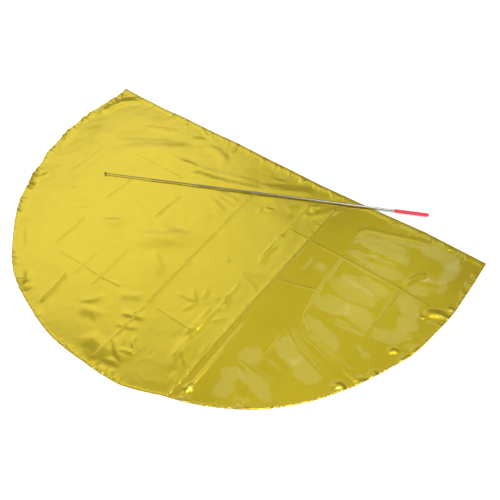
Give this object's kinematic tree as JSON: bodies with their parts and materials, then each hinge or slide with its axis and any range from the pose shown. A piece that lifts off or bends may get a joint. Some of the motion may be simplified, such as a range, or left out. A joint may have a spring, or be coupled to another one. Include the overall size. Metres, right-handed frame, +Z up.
{
  "type": "worship flag with telescopic rod",
  "caption": "Half-circle flag of golden lame cloth laid flat, with a pole sleeve, a seam and a rolled hem, and its telescopic steel rod with a red grip lying on it.",
  "frame": {"origin": "on the floor under the middle of the whole part's box", "axes": "+X along the flag's straight edge, from its left corner to its right corner; +Y from the curved edge towards the straight edge; +Z up, out of the cloth"},
  "size_m": [1.6638, 1.1656, 0.0134],
  "materials": {
    "lame_bright": "satin metallic lame, bright golden yellow",
    "lame_across": "glossy metallic lame, darker golden yellow, weave turned a quarter",
    "steel": "bright drawn stainless steel",
    "grip_red": "satin red vinyl"
  },
  "bodies": {
    "flag": {"main_panel": "lame_bright", "side_panel": "lame_across", "grip": "grip_red", "tube_1": "steel"},
    "section_2": {"tube_2": "steel"},
    "section_3": {"tube_3": "steel"},
    "section_4": {"tube_4": "steel"},
    "section_5": {"tube_5": "steel"},
    "section_6": {"tube_6": "steel", "tip_knob": "steel"}
  },
  "joints": [
    {"name": "slide_2", "type": "slide", "parent": "flag", "child": "section_2", "axis": [0.9021, 0.4315, 0], "range_m": [0, 0.189]},
    {"name": "slide_3", "type": "slide", "parent": "section_2", "child": "section_3", "axis": [0.9021, 0.4315, 0], "range_m": [0, 0.17]},
    {"name": "slide_4", "type": "slide", "parent": "section_3", "child": "section_4", "axis": [0.9021, 0.4315, 0], "range_m": [0, 0.172]},
    {"name": "slide_5", "type": "slide", "parent": "section_4", "child": "section_5", "axis": [0.9021, 0.4315, 0], "range_m": [0, 0.175]},
    {"name": "slide_6", "type": "slide", "parent": "section_5", "child": "section_6", "axis": [0.9021, 0.4315, 0], "range_m": [0, 0.173]}
  ]
}
